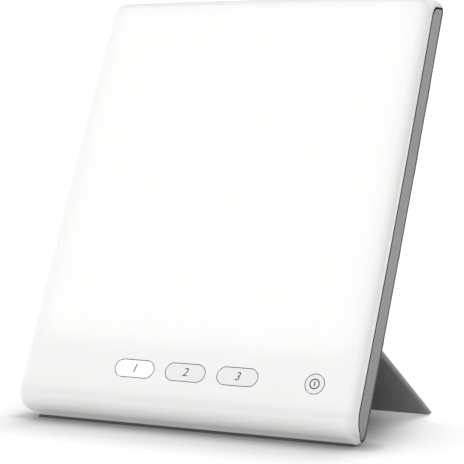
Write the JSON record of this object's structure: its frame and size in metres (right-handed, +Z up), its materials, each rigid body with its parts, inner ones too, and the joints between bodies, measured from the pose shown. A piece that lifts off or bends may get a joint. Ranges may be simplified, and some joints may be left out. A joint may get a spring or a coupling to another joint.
{
  "type": "light therapy lamp",
  "caption": "Flat light therapy lamp: a tall rounded light panel that leans back on a fold-out stand, with a row of mode buttons and a round power button under the lit area.",
  "frame": {"origin": "on the floor, below the middle of the lamp's box", "axes": "+X to the right as one faces the lit front, +Y towards the back, +Z up"},
  "size_m": [0.27, 0.1792, 0.3132],
  "materials": {
    "white_shell": "high gloss, moulded",
    "grey_housing": "satin, fine texture",
    "stand_grey": "satin, fine texture",
    "diffuser": "frosted, glows when lit",
    "reflector_white": "matt white",
    "spreader_metal": "plain sheet",
    "steel": "zinc plated",
    "washer_nylon": "plain",
    "board_green": "solder mask",
    "black_plastic": "plain",
    "plunger_plastic": "plain",
    "white_button": "high gloss, moulded",
    "lit_button": "high gloss, lit from behind",
    "light_diode": "phosphor, lit",
    "bar_white": "white solder mask",
    "wire_black": "insulated wire",
    "wire_red": "insulated wire",
    "dark_rubber": "soft, matt",
    "plate_grey": "satin, bare"
  },
  "bodies": {
    "panel": {"front_shell": "white_shell", "rear_housing": "grey_housing", "diffuser_sheet": "diffuser", "reflector_frame": "reflector_white", "heat_spreader": "spreader_metal", "spreader_screws": "steel", "control_board_screws": "steel", "driver_board_screws": "steel", "housing_screws": "steel", "hinge_rods": "steel", "dc_inlet_pin": "steel", "friction_washers": "washer_nylon", "control_board": "board_green", "driver_board": "board_green", "board_connector": "black_plastic", "switch_mode_1": "black_plastic", "switch_mode_2": "black_plastic", "switch_mode_3": "black_plastic", "switch_power": "black_plastic", "mode_leds": "light_diode", "driver_parts": "black_plastic", "dc_inlet": "black_plastic", "power_wires": "wire_black", "led_wires": "wire_red", "foot_strip": "dark_rubber", "blank_plate": "plate_grey", "led_bar_1": "bar_white", "leds_1": "light_diode", "led_bar_2": "bar_white", "leds_2": "light_diode", "led_bar_3": "bar_white", "leds_3": "light_diode", "led_bar_4": "bar_white", "leds_4": "light_diode", "led_bar_5": "bar_white", "leds_5": "light_diode"},
    "stand": {"stand_cover": "stand_grey", "stand_frame": "stand_grey", "stand_screws": "steel", "stand_pads": "dark_rubber"},
    "button_mode_1": {"button_mode_1": "lit_button", "plunger_mode_1": "plunger_plastic"},
    "button_mode_2": {"button_mode_2": "white_button", "plunger_mode_2": "plunger_plastic"},
    "button_mode_3": {"button_mode_3": "white_button", "plunger_mode_3": "plunger_plastic"},
    "button_power": {"button_power": "white_button", "plunger_power": "plunger_plastic"}
  },
  "joints": [
    {"name": "stand_hinge", "type": "hinge", "parent": "panel", "child": "stand", "pos_m": [0, -0.03639, 0.06287], "axis": [1, 0, 0], "range_deg": [0, 94.18]},
    {"name": "button_mode_1_press", "type": "slide", "parent": "panel", "child": "button_mode_1", "axis": [0, 0.8942, -0.4478], "range_m": [0, 0.0008], "stiffness_N_per_m": 1500, "springref_m": -0.0008},
    {"name": "button_mode_2_press", "type": "slide", "parent": "panel", "child": "button_mode_2", "axis": [0, 0.8942, -0.4478], "range_m": [0, 0.0008], "stiffness_N_per_m": 1500, "springref_m": -0.0008},
    {"name": "button_mode_3_press", "type": "slide", "parent": "panel", "child": "button_mode_3", "axis": [0, 0.8942, -0.4478], "range_m": [0, 0.0008], "stiffness_N_per_m": 1500, "springref_m": -0.0008},
    {"name": "button_power_press", "type": "slide", "parent": "panel", "child": "button_power", "axis": [0, 0.8942, -0.4478], "range_m": [0, 0.0008], "stiffness_N_per_m": 1500, "springref_m": -0.0008}
  ]
}
